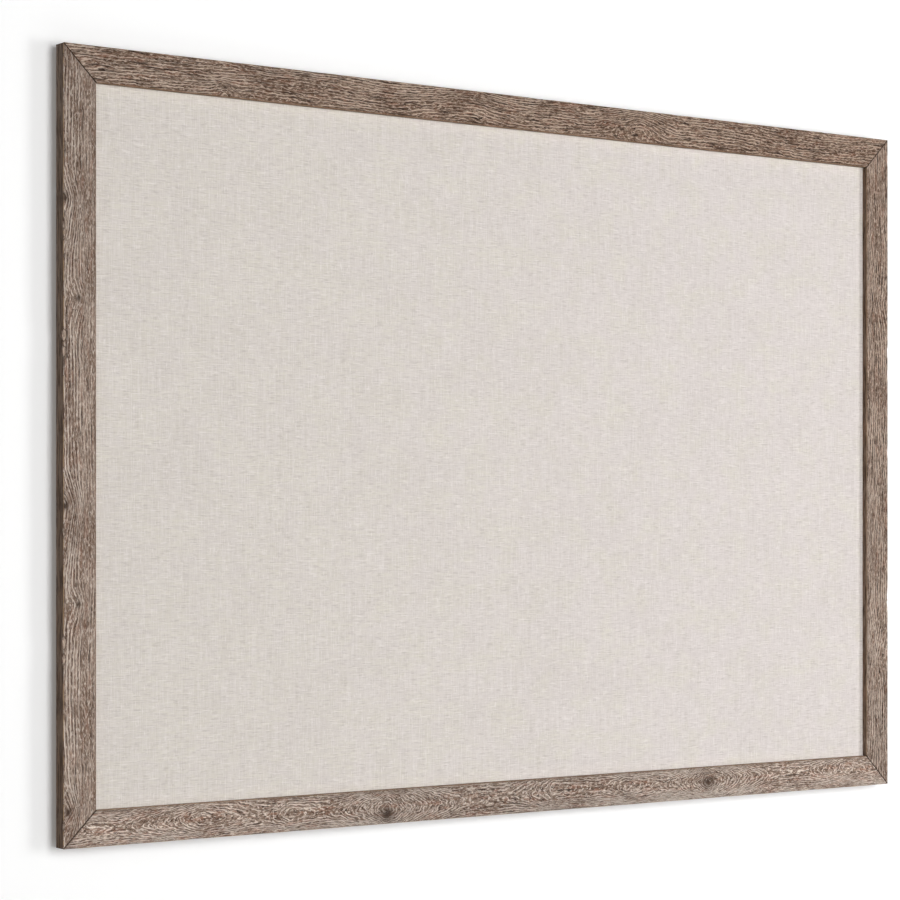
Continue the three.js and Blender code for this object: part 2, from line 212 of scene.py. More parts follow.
def cloud(tree, place, detail=3.0, roughness=0.6, scale=1.0):
    made = add(
        tree,
        "TexNoise",
        {"Vector": place, "Scale": scale, "Detail": detail, "Roughness": roughness},
    )
    return made.outputs["Fac"]


def point(tree, x, y, z=0.0):
    return add(tree, "CombineXYZ", {"X": x, "Y": y, "Z": z}).outputs[0]


def bumped(tree, shader, height, distance, strength=1.0):
    values = {"Height": height, "Distance": distance, "Strength": strength}
    feed(tree, shader.inputs["Normal"], add(tree, "Bump", values).outputs[0])


def attribute(tree, name):
    """The three numbers that the mesh holds at each place under one name."""
    held = add(tree, "Attribute", {}, attribute_name=name).outputs["Vector"]
    return add(tree, "SeparateXYZ", {0: held}).outputs


def streaks(tree, along, over, length, width, start, detail=3.0):
    """A cloudy pattern of patches about one length along and one width over, in mm."""
    place = point(tree, calc(tree, "DIVIDE", along, length), calc(tree, "DIVIDE", over, width), start)
    return cloud(tree, place, detail)


def limed_oak():
    """Reads three attributes of the wood. The grain is its growth ring and the way along and across in mm.
    The marks are how much a place is knot, how far its edge is rubbed bare and how pale its board is, in
    which the side faces and the lip carry painted light. The figure is how wide the ring is there in mm, how
    calm the grain runs and how far its pores stand open."""
    made, tree, shader = finish_nodes("limed_oak", Specular_IOR_Level=0.15)
    ring, along, across = attribute(tree, "grain")
    knot, worn, shade = attribute(tree, "marks")
    pitch, calm, wide = attribute(tree, "figure")
    brown, pale_brown, red_brown = tone(112, 91, 77), tone(144, 126, 113), tone(156, 110, 90)
    lime, thin_lime, bare_edge_with_painted_light = tone(220, 207, 195), tone(196, 181, 168), tone(238, 214, 194)
    pore, crack, rubbed_edge = tone(62, 46, 38), tone(46, 34, 28), tone(78, 57, 46)

    def times(*values):
        return calc(tree, "MULTIPLY", *values)

    rough = streaks(tree, along, across, 3.2, 1.4, 5.0, 2)
    ring = calc(tree, "MULTIPLY_ADD", rough, rise(tree, calm, 0, 1, 0.26, 0.1), ring)

    def fibres(length, width, start, spread=2.4, detail=2.0):
        """Streaks of one length and width in mm, which follow the rings as far as they spread across."""
        steps = times(ring, 2.6 / width)
        way = calc(tree, "MULTIPLY_ADD", along, 1 / length, start)
        return cloud(tree, point(tree, way, steps, calc(tree, "DIVIDE", across, spread)), detail)

    late = times(calc(tree, "PINGPONG", ring, 0.5), 2.0)
    short, long = fibres(12, 1.6, 3.1, 4.5), fibres(45, 1.6, 5.7, 14)
    broken = calc(tree, "MULTIPLY_ADD", calc(tree, "SUBTRACT", long, short), calm, short)
    patch = streaks(tree, along, across, 55, 13, shade)
    warm = streaks(tree, along, across, 24, 5, 9.0)
    half_ring = times(pitch, 0.5)
    from_line = times(late, half_ring)
    line = times(rise(tree, from_line, 0.6, 0.2), rise(tree, broken, 0.38, 0.52))
    line = times(line, rise(tree, patch, 0.35, 0.55, 0.35, 0.9))
    line = times(line, times(wide, rise(tree, shade, 0.85, 1.15, 1.0, 0.75)))
    from_dark = calc(tree, "SUBTRACT", half_ring, from_line)
    gaps = calc(tree, "MULTIPLY_ADD", calc(tree, "SUBTRACT", long, 0.5), calm, fibres(9, 1.3, 17.2, 5))
    dark = times(rise(tree, from_dark, 0.9, 0.2), rise(tree, gaps, 0.42, 0.56))
    dark = times(dark, times(wide, rise(tree, calm, 0, 1, 0.6, 0.85)))
    flecks = rise(tree, fibres(4.5, 0.9, 11.7), 0.56, 0.64)
    pores = rise(tree, fibres(5, 0.9, 23.3), 0.56, 0.64)
    veins = calc(tree, "SUBTRACT", fibres(34, 1.3, 37.9), rise(tree, shade, 0.8, 1.1, 0, 0.05))
    cracks = rise(tree, veins, 0.57, 0.63)
    dust = fibres(4.2, 1.1, 41.3, 1.8, 3.0)
    loud = rise(tree, calm, 0, 1, 1.0, 0.7)
    dusty = times(loud, 0.65)

    wood = blend(tree, rise(tree, patch, 0.36, 0.62), brown, pale_brown)
    red = rise(tree, warm, 0.48, 0.66, 0, rise(tree, calm, 0, 1, 0.5, 0.25))
    wood = blend(tree, red, wood, red_brown)
    wood = blend(tree, rise(tree, dust, 0.50, 0.36, 0, dusty), wood, tone(78, 60, 50))
    limed = blend(tree, rise(tree, dust, 0.50, 0.64, 0, dusty), wood, thin_lime)
    limed = blend(tree, dark, limed, tone(74, 56, 46))
    limed = blend(tree, times(pores, times(loud, 0.8)), limed, pore)
    limed = blend(tree, times(flecks, times(loud, 0.7)), limed, lime)
    limed = blend(tree, line, limed, lime)
    limed = blend(tree, times(cracks, 0.9), limed, crack)
    # Painted shade: the face darkens over its last few mm towards the inner edge and down the lip, where the
    # rabbet lies in shade.
    limed = blend(tree, rise(tree, across, 29.2, 31.8, 0, 0.4), limed, tone(92, 72, 58))
    limed = blend(tree, rise(tree, worn, 0.02, 0.3, 0, 0.65), limed, rubbed_edge)
    # The chips show bare pale wood, painted paler still as painted light, because their facets lie in shade.
    rubbed = times(rise(tree, worn, 0.7, 1.5, 0, 0.7), rise(tree, dust, 0.35, 0.6, 0.3, 1.0))
    limed = blend(tree, rubbed, limed, bare_edge_with_painted_light)
    streak = streaks(tree, along, across, 26, 1.7, 3.0)
    wood = blend(tree, 0.55, wood, tone(120, 98, 80))
    wood = blend(tree, rise(tree, streak, 0.54, 0.42, 0, 0.85), wood, tone(64, 50, 39))
    raw = blend(tree, rise(tree, dust, 0.62, 0.38, 0, 0.5), tone(188, 158, 122), tone(146, 115, 84))
    wood = blend(tree, rise(tree, worn, -1.2, -1.8), wood, raw)
    wood = blend(tree, rise(tree, worn, -0.7, -0.2), wood, limed)
    ragged = calc(tree, "MULTIPLY_ADD", calc(tree, "SUBTRACT", dust, 0.5), times(knot, 1.6), knot)
    wood = blend(tree, rise(tree, ragged, 0.05, 0.8, 0, 0.93), wood, tone(50, 37, 29))
    deep = calc(tree, "MINIMUM", shade, 1.0)
    redder = times(shade, calc(tree, "POWER", deep, -0.45))
    less_blue = times(shade, calc(tree, "POWER", deep, 0.4))
    wood = blend(tree, 1.0, wood, point(tree, redder, shade, less_blue), "MULTIPLY")
    feed(tree, shader.inputs["Base Color"], wood)
    feed(tree, shader.inputs["Roughness"], rise(tree, broken, 0.3, 0.7, 0.62, 0.82))
    height = calc(tree, "SUBTRACT", rise(tree, dust, 0.3, 0.7), calc(tree, "ADD", pores, cracks))
    bumped(tree, shader, calc(tree, "SUBTRACT", height, line), 0.2 * mm)
    return made


def shape_from(bm, name, finish, sharp=math.radians(38)):
    """The mesh of a finished bmesh, smooth but for its sharp edges."""
    for face in bm.faces:
        face.smooth = True
    for edge in bm.edges:
        edge.smooth = len(edge.link_faces) != 2 or edge.calc_face_angle() < sharp
    mesh = bpy.data.meshes.new(name)
    bm.to_mesh(mesh)
    bm.free()
    mesh.materials.append(finish)
    return mesh


def piece_of(name, mesh, node, body):
    """A piece at the origin that stands for a node of the CAD model and rides where the node does."""
    piece = bpy.data.objects.new(name, mesh)
    bpy.context.collection.objects.link(piece)
    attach(piece, body)
    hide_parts(node)
    return piece


rail_low, rail_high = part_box("bottom_rail")
linen_low, linen_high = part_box("linen_cover")
face_width = (rail_high.z - rail_low.z) / mm
front = rail_low.y / mm
moulding_depth = (rail_high.y - rail_low.y) / mm
lip_gap = 0.15
lip_depth = linen_low.y / mm - front - lip_gap
rabbet_width = 7
back_width = face_width - rabbet_width
glue_line = 0.4
outer_arris = 0.5
inner_arris = 0.35
back_arris = 0.5
board_width = (rail_high.x - rail_low.x) / mm
board_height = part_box("top_rail")[1].z / mm - rail_low.z / mm
board_middle = Vector((0, 0, rail_low.z + board_height / 2 * mm))

# Places in mm: along from the middle of each side, going round from the bottom left, and across from its
# outer edge. The pith lies so far across and under the face, with rings of one width round it that wander. On
# a calm side the lines run long and quiet, and its pores close from open_to on. The lip says how much paler
# the inner face is painted, as painted light on a face in shade, and the shades how pale the side is from its
# start to its end.
# A figure is where the grain swirls: its place, how far it reaches back and ahead, how its arcs bow, how many
# rings it has and how dark its knot is. A chip has a place, a half length and a size.
sides = {
    "bottom_rail": {
        "turn": 0,
        "length": board_width,
        "reach": board_height / 2,
        "pith": (16, 24),
        "ring_width": 2.2,
        "wander": 1.0,
        "calm": 0,
        "open_to": 99,
        "lip": 1.2,
        "shades": (1.32, 1.26, 1.10, 1.02, 1.15, 1.24, 1.36),
        "figures": [
            (-545, 15, 30, 260, 12, 12, 0),
            (-362, 21, 90, 1400, 12, 12, 0),
            (-268, 14, 28, 150, 9, 4, 0),
            (-160, 9, 68, 92, 14, 13, 1.0),
            (38, 22, 60, 1400, 12, 8, 0),
            (132, 15, 28, 150, 9, 4, 0),
            (240, 17, 64, 94, 14, 13, 0.85),
            (438, 22, 60, 1400, 12, 8, 0),
        ],
        "chips": [(-300, 9, 0.7), (60, 14, 0.8), (350, 10, 0.6)],
    },
    "right_stile": {
        "turn": -90,
        "length": board_height,
        "reach": board_width / 2,
        "pith": (-34, 24),
        "ring_width": 2.4,
        "wander": 0.8,
        "calm": 0.3,
        "open_to": 99,
        "lip": 1.3,
        "shades": (0.95, 0.88, 0.85, 0.85),
        "figures": [(170, 22, 60, 80, 7, 3, 0), (-40, 10, 90, 60, 6, 3, 0), (-210, 20, 60, 60, 6, 3, 0)],
        "chips": [(120, 9, 0.6), (-150, 16, 0.8)],
    },
    "top_rail": {
        "turn": -180,
        "length": board_width,
        "reach": board_height / 2,
        "pith": (52, 20),
        "ring_width": 2.4,
        "wander": 1.2,
        "calm": 0,
        "open_to": 99,
        "lip": 2.1,
        "shades": (0.785, 0.785, 0.785, 0.82, 0.85),
        "figures": [(337, 24, 18, 18, 4, 1.5, 0.75), (-151, 11, 50, 70, 6, 4, 0), (60, 18, 90, 90, 6, 3, 0)],
        "chips": [(-20, 18, 0.7), (240, 10, 0.5)],
    },
    "left_stile": {
        "turn": -270,
        "length": board_height,
        "reach": board_width / 2,
        "pith": (-40, 22),
        "ring_width": 2.8,
        "wander": 0.55,
        "calm": 1,
        "open_to": 12,
        "lip": 1.2,
        "shades": (1.04, 1.13, 1.20, 1.21, 1.21),
        "figures": [
            (-215, 2, 34, 62, 7, 3.5, 1.0),
            (-129, 14.5, 22, 34, 4, 2.2, 0.9),
            (52, 2, 34, 62, 7, 3.5, 1.0),
            (138, 14.5, 22, 34, 4, 2.2, 0.9),
            (318, 5, 28, 24, 5, 3.5, 1.0),
        ],
        "chips": [
            (-192, 6, 1.4),
            (-96, 7, 3.0),
            (-82, 6, 2.6),
            (75, 6, 1.4),
            (171, 7, 3.0),
            (185, 6, 2.6),
            (330, 5, 1.6),
        ],
    },
}
groove_depth = 0.14
eased_end = 0.9
end_groove = 0.4
# Painted light: the outer side faces are made this much paler, because they lie in shade.
side_face_painted_light = 1.32
touching = 0.01

# The mesh is split in steps of these mm, finest where it is seen, and stretches shorter than this stay whole.
front_step, side_step, back_step, length_step = 0.5, 0.9, 3.0, 2.1
never_split = 1.5


def ring_at(side, along, across, depth):
    """The growth ring that comes to the surface at a place, and how much of a knot is there."""
    seed = side["turn"] * 0.37
    pith_across = side["pith"][0] + 5 * noise.noise(Vector((along / 170, seed, 0)))
    pith_depth = side["pith"][1] + 5 * noise.noise(Vector((along / 110, seed, 5)))
    ring = math.hypot(across - pith_across, depth + pith_depth) / side["ring_width"]
    ring += 0.9 * side["wander"] * noise.noise(Vector((along / 60, across / 17, depth / 11 + seed)))
    ring += 0.35 * side["wander"] * noise.noise(Vector((along / 16, across / 6, depth / 6 - seed)))
    ring += 0.22 * side["wander"] * noise.noise(Vector((along / 6, across / 2.4, depth / 4 + seed)))
    knot = 0
    for place, inset, back, ahead, bow, rings, dark in side["figures"]:
        away = (math.hypot(along - place, 1) - 1) / (back if along < place else ahead)
        away += ((across - inset) ** 2 / bow / 2 + depth) / back
        away += (0.03 if dark else 0.012) * noise.noise(Vector((along / 8, across / 6, seed + 9)))
        if away < 1:
            ring -= rings * (1 - away) ** 1.4
            ragged = 1 + 0.5 * noise.noise(Vector((along / 5, across / 3, seed)))
            near = math.hypot((along - place) * 0.8, across - inset, depth / 3) * ragged
            core, halo = min(8, back / 8), min(16, back / 4)
            knot = max(knot, dark * (1 - near / core), 0.62 * min(1, 1.3 * dark) * (1 - near / halo))
    return ring, knot


def shade_at(side, along):
    """How pale the board is at a place, between the shades given along it."""
    shades = side["shades"]
    place = min(max(along / side["length"] + 0.5, 0), 0.999) * (len(shades) - 1)
    start = int(place)
    return shades[start] + (shades[start + 1] - shades[start]) * (place - start)


def chamfer_at(side, along):
    """How far the outer edge is rubbed or chipped away, measured across and down together."""
    worn = 0.2 + 1.2 * max(0, noise.noise(Vector((along / 21, side["turn"], 3)))) ** 1.3
    worn += 0.3 * noise.noise(Vector((along / 6, side["turn"], 8)))
    for place, half_length, size in side["chips"]:
        ragged = 1 + 0.7 * noise.noise(Vector((along / 2.7, side["turn"], 6)))
        worn = max(worn, (size + 0.4) * (1 - ((along - place) / half_length) ** 2) * ragged)
    return worn


def openness_at(side, along, across):
    """How far the pores between the rings stand open, which fades towards the inner edge of a calm board."""
    fade = (across - side["open_to"]) / 8 + 0.6 * noise.noise(Vector((along / 40, across / 9, side["turn"])))
    return 1 - 0.65 * min(1, max(0, fade))


def rounded(bm, geom, size, segments, affect="EDGES"):
    bmesh.ops.bevel(
        bm,
        geom=geom,
        offset=size,
        segments=segments,
        profile=0.5,
        affect=affect,
        material=-1,
    )


def verts_in(geom):
    return [item for item in geom if isinstance(item, bmesh.types.BMVert)]


def moulding(name, side, finish):
    bm = bmesh.new()
    outline = [
        (0, moulding_depth),
        (0, 0),
        (face_width, 0),
        (face_width, lip_depth),
        (back_width, lip_depth),
        (back_width, moulding_depth),
    ]
    corners = [bm.verts.new((0, depth, across)) for across, depth in outline]
    bm.faces.new(corners)
    for corner, size, segments in ((0, back_arris, 2), (1, outer_arris, 3), (2, inner_arris, 3)):
        rounded(bm, [corners[corner]], size, segments, "VERTICES")
    bmesh.ops.delete(bm, geom=bm.faces[:], context="FACES_ONLY")
    for edge in bm.edges[:]:
        low, high = sorted((v.co for v in edge.verts), key=lambda place: place.y + place.z)
        if (high - low).length < never_split:
            continue
        on_front = low.y < touching and high.y < touching
        on_side = low.z < touching and high.z < touching or low.z > face_width - 0.1
        step = front_step if on_front else side_step if on_side else back_step
        bmesh.ops.subdivide_edges(bm, edges=[edge], cuts=round((high - low).length / step) - 1)
    grown = bmesh.ops.extrude_edge_only(bm, edges=bm.edges[:])["geom"]
    bmesh.ops.translate(bm, vec=(1, 0, 0), verts=verts_in(grown))
    lengthwise = [edge for edge in bm.edges if edge.verts[0].co.x != edge.verts[1].co.x]
    steps = round(side["length"] / length_step)
    bmesh.ops.subdivide_edges(bm, edges=lengthwise, cuts=steps - 1, use_grid_fill=True)
    bmesh.ops.recalc_face_normals(bm, faces=bm.faces)
    bm.normal_update()
    grain = bm.verts.layers.float_vector.new("grain")
    marks = bm.verts.layers.float_vector.new("marks")
    figure = bm.verts.layers.float_vector.new("figure")
    chamfers = {}
    for vert in bm.verts:
        share, depth, across = vert.co
        length = side["length"] - 2 * across - glue_line * math.sqrt(2)
        from_end = min(share, 1 - share) * steps
        along = (share - 0.5) * length
        if 0.5 < from_end < 1.5:
            along = math.copysign(length / 2 - eased_end, along)
        ring, knot = ring_at(side, along, across, depth)
        at_end = from_end < 0.5
        if round(along, 2) not in chamfers:
            chamfers[round(along, 2)] = chamfer_at(side, along)
        chamfer = max(0, chamfers[round(along, 2)] - across - depth)
        lip = across > face_width - touching
        outside = depth < touching or across < touching or lip
        # Painted light: the outer side faces and the lip of each side are made paler, because they lie in
        # shade.
        pale = side_face_painted_light if across < touching else side["lip"] if lip else 1
        bare = 0 if depth < touching else -1 if outside else -2
        over = across + depth if across > face_width - 1 else across - depth
        vert[grain] = (ring, along, over)
        vert[marks] = (1.0 if at_end else knot, chamfer or bare, shade_at(side, along) * pale)
        vert.co.x = along
        if outside:
            groove = max(0, 1 - 3 * abs(ring - round(ring)))
            sink = groove_depth * (groove + 0.35 * noise.noise(Vector((along / 30, across / 6, depth))))
            vert.co -= vert.normal * (end_groove if at_end else max(0, sink))
        if chamfer > 0:
            vert.co += Vector((0, 1, 1)) * chamfer / 2
    for vert in bm.verts:
        here = vert[grain]
        steep = [0.1]
        for edge in vert.link_edges:
            there = edge.other_vert(vert)[grain]
            steep.append(abs(here.x - there.x) / max(0.2, math.hypot(here.y - there.y, here.z - there.z)))
        vert[figure] = (1 / max(steep), side["calm"], openness_at(side, here.y, here.z))
    bmesh.ops.holes_fill(bm, edges=[edge for edge in bm.edges if edge.is_boundary], sides=0)
    turned = Matrix.Rotation(math.radians(side["turn"]), 4, "Y")
    place = Matrix.Translation(board_middle) @ turned @ Matrix.Scale(mm, 4)
    bmesh.ops.transform(bm, matrix=place @ Matrix.Translation((0, front, -side["reach"])), verts=bm.verts)
    mesh = shape_from(bm, name + "_moulding", finish)
    return piece_of(name + "_moulding", mesh, name, "board")


oak = limed_oak()
for name, side in sides.items():
    moulding(name, side, oak)

# Linen
# One piece of natural linen, stretched over the front of the cork, turned round its four edges and glued down
# behind as hems 30 mm wide, folded to a mitre at the corners.
hem_width = 30
cloth_thickness = 0.6
cloth_turn = 0.6
cloth_crown = 0.2
# Width in mm of the rim along the frame where the cloth is given painted light.
painted_light_rim = 14
thread_pair = 1.4
half_sight = board_width / 2 - face_width, board_height / 2 - face_width


def natural_linen():
    """Reads the attribute flat, the place on the cut cloth in mm. Threads are uneven, so both ways show
    slubs, and along the frame the cloth is painted a little paler: painted light against the shade of the
    lip."""
    made, tree, shader = finish_nodes(
        "natural_linen",
        Roughness=0.92,
        Specular_IOR_Level=0.2,
        Sheen_Weight=0.15,
    )
    across, up, _ = attribute(tree, "flat")
    dull, bright = tone(206, 197, 193), tone(240, 234, 231)

    def threads(length, width, runs_up, start):
        along, over = (up, across) if runs_up else (across, up)
        return streaks(tree, along, over, length, width, start, 2)

    slubs = rise(tree, threads(10, 1.1, False, 2.0), 0.52, 0.68)
    light = rise(tree, threads(13, 1.1, False, 22.0), 0.53, 0.70)
    pale = rise(tree, threads(8, 1.1, True, 7.0), 0.56, 0.72)
    weft = threads(36, 1.0, False, 12.0)
    warp = threads(40, 1.1, True, 17.0)
    soft = streaks(tree, across, up, 70, 60, 1.0)
    blocks = streaks(tree, across, up, 15, 5, 14.0, 2)
    hue = streaks(tree, across, up, 34, 30, 4.0, 2)

    aged = calc(tree, "ADD", rise(tree, hue, 0.40, 0.70), rise(tree, across, -420, 300, 0.75, 0), clamp=True)
    cloth = blend(tree, aged, tone(221, 212.5, 209), tone(219, 213, 201))
    cloth = blend(tree, rise(tree, soft, 0.35, 0.65, 0, 0.25), cloth, tone(202, 194, 189))
    cloth = blend(tree, rise(tree, blocks, 0.4, 0.6, 0, 0.3), cloth, tone(206, 198, 194))
    cloth = blend(tree, rise(tree, weft, 0.35, 0.65, 0, 0.45), cloth, dull)
    cloth = blend(tree, rise(tree, warp, 0.4, 0.65, 0, 0.34), cloth, tone(233, 227, 225))
    cloth = blend(tree, calc(tree, "MULTIPLY", slubs, 0.45), cloth, tone(182, 172, 166))
    cloth = blend(tree, calc(tree, "MULTIPLY", light, 0.5), cloth, bright)
    cloth = blend(tree, calc(tree, "MULTIPLY", pale, 0.5), cloth, tone(242, 236, 233))
    inside = calc(tree, "SUBTRACT", half_sight[0], calc(tree, "ABSOLUTE", across))
    held = calc(tree, "MINIMUM", inside, calc(tree, "SUBTRACT", half_sight[1], calc(tree, "ABSOLUTE", up)))
    # Painted light: within the rim along the frame the cloth is made up to 7% paler, against the shade the
    # lip casts there.
    rim_painted_light = rise(tree, held, painted_light_rim, 0, 1.0, 1.07)
    cloth = blend(tree, 1.0, cloth, point(tree, rim_painted_light, rim_painted_light, calc(tree, "POWER", rim_painted_light, 0.8)), "MULTIPLY")
    feed(tree, shader.inputs["Base Color"], cloth)
    over = calc(tree, "SINE", calc(tree, "MULTIPLY", across, 2 * math.pi / thread_pair))
    under = calc(tree, "SINE", calc(tree, "MULTIPLY", up, 2 * math.pi / thread_pair))
    weave = calc(tree, "MULTIPLY", over, under)
    height = calc(tree, "ADD", calc(tree, "ADD", weave, weft), calc(tree, "ADD", slubs, pale))
    bumped(tree, shader, height, 0.06 * mm)
    return made


def edges_in(geom):
    return [item for item in geom if isinstance(item, bmesh.types.BMEdge)]


def stretched_linen():
    half_width = linen_high.x / mm
    half_height = (linen_high.z - linen_low.z) / mm / 2
    face = linen_low.y / mm
    back = linen_high.y / mm
    turn = cloth_turn
    bm = bmesh.new()
    bmesh.ops.create_grid(bm, x_segments=150, y_segments=104, size=1)
    size = Matrix.Diagonal((half_width - turn, half_height - turn, 1, 1))
    bmesh.ops.transform(bm, matrix=upright @ size, verts=bm.verts)
    bmesh.ops.translate(bm, vec=(0, face, 0), verts=bm.verts)
    flat = bm.verts.layers.float_vector.new("flat")
    for vert in bm.verts:
        vert[flat] = (vert.co.x, vert.co.z, 0)
        held = min(half_width - abs(vert.co.x), half_height - abs(vert.co.z))
        loose = min(1, max(0, (held - 8) / 40))
        wave = noise.noise(Vector((vert.co.x / 90, vert.co.z / 60, 2)))
        vert.co.y -= cloth_crown * loose * (0.5 + wave)
    path = [(turn * math.sin(t), turn - turn * math.cos(t)) for t in (math.pi / 6, math.pi / 3, math.pi / 2)]
    path = [(out - turn, face + deep) for out, deep in path]
    path += [(0, (face + back) / 2), (0, back - turn)]
    for t in (math.pi / 4, math.pi / 2):
        path.append((turn * math.cos(t) - turn, back - turn + turn * math.sin(t)))
    path += [(-turn - hem_width * share, back) for share in (0.1, 0.3, 0.6, 0.97)]
    rim = [edge for edge in bm.edges if edge.is_boundary]
    reach = -turn
    run = 0
    depth = face
    for out, deep in path:
        grown = bmesh.ops.extrude_edge_only(bm, edges=rim)["geom"]
        rim = edges_in(grown)
        verts = verts_in(grown)
        wider = (half_width + out) / (half_width + reach)
        higher = (half_height + out) / (half_height + reach)
        bmesh.ops.transform(bm, matrix=Matrix.Diagonal((wider, 1, higher, 1)), verts=verts)
        bmesh.ops.translate(bm, vec=(0, deep - depth, 0), verts=verts)
        run += math.hypot(out - reach, deep - depth)
        for vert in verts:
            side_share = abs(vert.co.x) / (half_width + out), abs(vert.co.z) / (half_height + out)
            far = half_width - turn + run, half_height - turn + run
            x = math.copysign(far[0], vert.co.x) if side_share[0] > 0.9999 else vert.co.x
            z = math.copysign(far[1], vert.co.z) if side_share[1] > 0.9999 else vert.co.z
            vert[flat] = (x, z, 0)
        reach, depth = out, deep
    bmesh.ops.recalc_face_normals(bm, faces=bm.faces)
    if max(bm.faces, key=lambda face: face.calc_area()).normal.y < 0:
        bmesh.ops.reverse_faces(bm, faces=bm.faces)
    bmesh.ops.solidify(bm, geom=bm.faces[:], thickness=cloth_thickness)
    bmesh.ops.transform(bm, matrix=Matrix.Translation(board_middle) @ Matrix.Scale(mm, 4), verts=bm.verts)
    return shape_from(bm, "linen_cloth", natural_linen(), math.radians(70))


linen = piece_of("linen_cloth", stretched_linen(), "linen_cover", "board")

# Cork core
# The pinning layer under the cloth: a sheet pressed from pale and dark cork granules with a little glue. It
# is held by the cloth that is stretched round it, and its edges show nowhere.


def place_in_mm(tree):
    where = add(tree, "TexCoord", {}).outputs["Object"]
    return add(tree, "VectorMath", {0: where, "Scale": 1000.0}, operation="SCALE").outputs[0]


def scaled(tree, place, x, y, z):
    """The place, with steps of x, y and z mm made one."""
    return add(tree, "VectorMath", {0: place, 1: (1 / x, 1 / y, 1 / z)}, operation="MULTIPLY").outputs[0]


def pressed_cork():
    made, tree, shader = finish_nodes("pressed_cork", Roughness=0.85, Specular_IOR_Level=0.2)
    place = place_in_mm(tree)
    granules = {"Vector": place, "Scale": 0.45, "Randomness": 1.0}
    grains = add(tree, "TexVoronoi", granules)
    edges = add(tree, "TexVoronoi", granules, feature="DISTANCE_TO_EDGE")
    tint = add(tree, "SeparateColor", {"Color": grains.outputs["Color"]}).outputs[0]
    cork = blend(tree, tint, tone(150, 112, 74), tone(206, 172, 128))
    cork = blend(tree, rise(tree, tint, 0.88, 0.96, 0, 0.7), cork, tone(84, 56, 36))
    cork = blend(tree, rise(tree, cloud(tree, place, scale=1.7), 0.55, 0.75, 0, 0.5), cork, tone(110, 78, 50))
    seam = rise(tree, edges.outputs["Distance"], 0.0, 0.09)
    cork = blend(tree, seam, tone(96, 66, 42), cork)
    feed(tree, shader.inputs["Base Color"], cork)
    bumped(tree, shader, seam, 0.15 * mm)
    return made


cork_sheet = bpy.data.objects["cork_core"]
cork_sheet.material_slots[0].material = pressed_cork()

# Backing board
# Thin hardboard behind the wrapped core, with its rough side out: brown wood fibre that still shows the wire
# screen on which it was pressed.
wire_gap = 1.8


def screen_hardboard():
    made, tree, shader = finish_nodes("screen_hardboard", Specular_IOR_Level=0.25)
    place = place_in_mm(tree)
    fibre = cloud(tree, scaled(tree, place, 3.0, 3.0, 0.9), 5.0, 0.7)
    hairs = cloud(tree, scaled(tree, place, 0.7, 3.0, 4.5), 3.0)
    stain = cloud(tree, scaled(tree, place, 90, 90, 60), 3.0)
    spread = add(tree, "SeparateXYZ", {0: place})
    wires = calc(tree, "SINE", calc(tree, "MULTIPLY", spread.outputs["X"], 2 * math.pi / wire_gap))
    cross = calc(tree, "SINE", calc(tree, "MULTIPLY", spread.outputs["Z"], 2 * math.pi / wire_gap))
    screen = calc(tree, "MULTIPLY", wires, cross)
    board = blend(tree, rise(tree, fibre, 0.32, 0.68), tone(112, 82, 58), tone(158, 124, 92))
    board = blend(tree, rise(tree, hairs, 0.60, 0.74, 0, 0.6), board, tone(190, 158, 122))
    board = blend(tree, rise(tree, hairs, 0.40, 0.28, 0, 0.6), board, tone(78, 54, 38))
    board = blend(tree, rise(tree, stain, 0.40, 0.65, 0, 0.2), board, tone(96, 68, 47))
    board = blend(tree, rise(tree, screen, 0.1, 0.9, 0, 0.35), board, tone(84, 59, 41))
    feed(tree, shader.inputs["Base Color"], board)
    feed(tree, shader.inputs["Roughness"], rise(tree, fibre, 0.3, 0.7, 0.7, 0.9))
    bumped(tree, shader, calc(tree, "SUBTRACT", fibre, screen), 0.25 * mm, 0.8)
    return made


backing = bpy.data.objects["backing_board"]
backing.material_slots[0].material = screen_hardboard()

# Corner nails
# Two V nails of thin blued steel across each mitre, rolled from strip and ground sharp. They are pressed in
# from behind until they are flush with the wood.
nail_leg = 5.5
nail_thickness = 0.8
nail_bend, nail_crease, nail_edge = 0.7, 0.2, 0.12
nail_proud = 0.03
nail_top = front + moulding_depth + nail_proud
nail_depth = nail_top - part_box("v_nail_bottom_left_outer")[0].y / mm


def worn_metal(name, bright, dull, mark, roughness):
    """Plated or blued steel: cloudy in its plating, finely scratched, with small dark marks."""
    made, tree, shader = finish_nodes(name, Metallic=1.0)
    place = place_in_mm(tree)
    plating = cloud(tree, place, 4.0, 0.6, 0.55)
    scratches = cloud(tree, scaled(tree, place, 0.16, 2.0, 2.6), 2.0)
    spots = cloud(tree, place, 3.0, 0.6, 1.9)
    metal = blend(tree, rise(tree, plating, 0.35, 0.65), bright, dull)
    metal = blend(tree, rise(tree, scratches, 0.56, 0.70, 0, 0.35), metal, mark)
    metal = blend(tree, rise(tree, spots, 0.66, 0.74, 0, 0.7), metal, mark)
    feed(tree, shader.inputs["Base Color"], metal)
    feed(tree, shader.inputs["Roughness"], rise(tree, plating, 0.3, 0.7, roughness, roughness + 0.18))
    bumped(tree, shader, calc(tree, "ADD", scratches, spots), 0.02 * mm)
    return made


def v_nail(finish):
    bm = bmesh.new()
    outline = [
        (0, 0),
        (nail_leg, 0),
        (nail_leg, nail_thickness),
        (nail_thickness, nail_thickness),
        (nail_thickness, nail_leg),
        (0, nail_leg),
    ]
    corners = [bm.verts.new((x, -nail_depth, z)) for x, z in outline]
    bm.faces.new(corners)
    for corner, size in ((0, nail_bend), (3, nail_crease)):
        rounded(bm, [corners[corner]], size, 3, "VERTICES")
    grown = bmesh.ops.extrude_face_region(bm, geom=bm.faces[:])["geom"]
    top = verts_in(grown)
    bmesh.ops.translate(bm, vec=(0, nail_depth, 0), verts=top)
    bmesh.ops.recalc_face_normals(bm, faces=bm.faces)
    rim = [edge for edge in bm.edges if all(vert in top for vert in edge.verts)]
    rounded(bm, rim, nail_edge, 2)
    return shape_from(bm, "v_nail", finish)


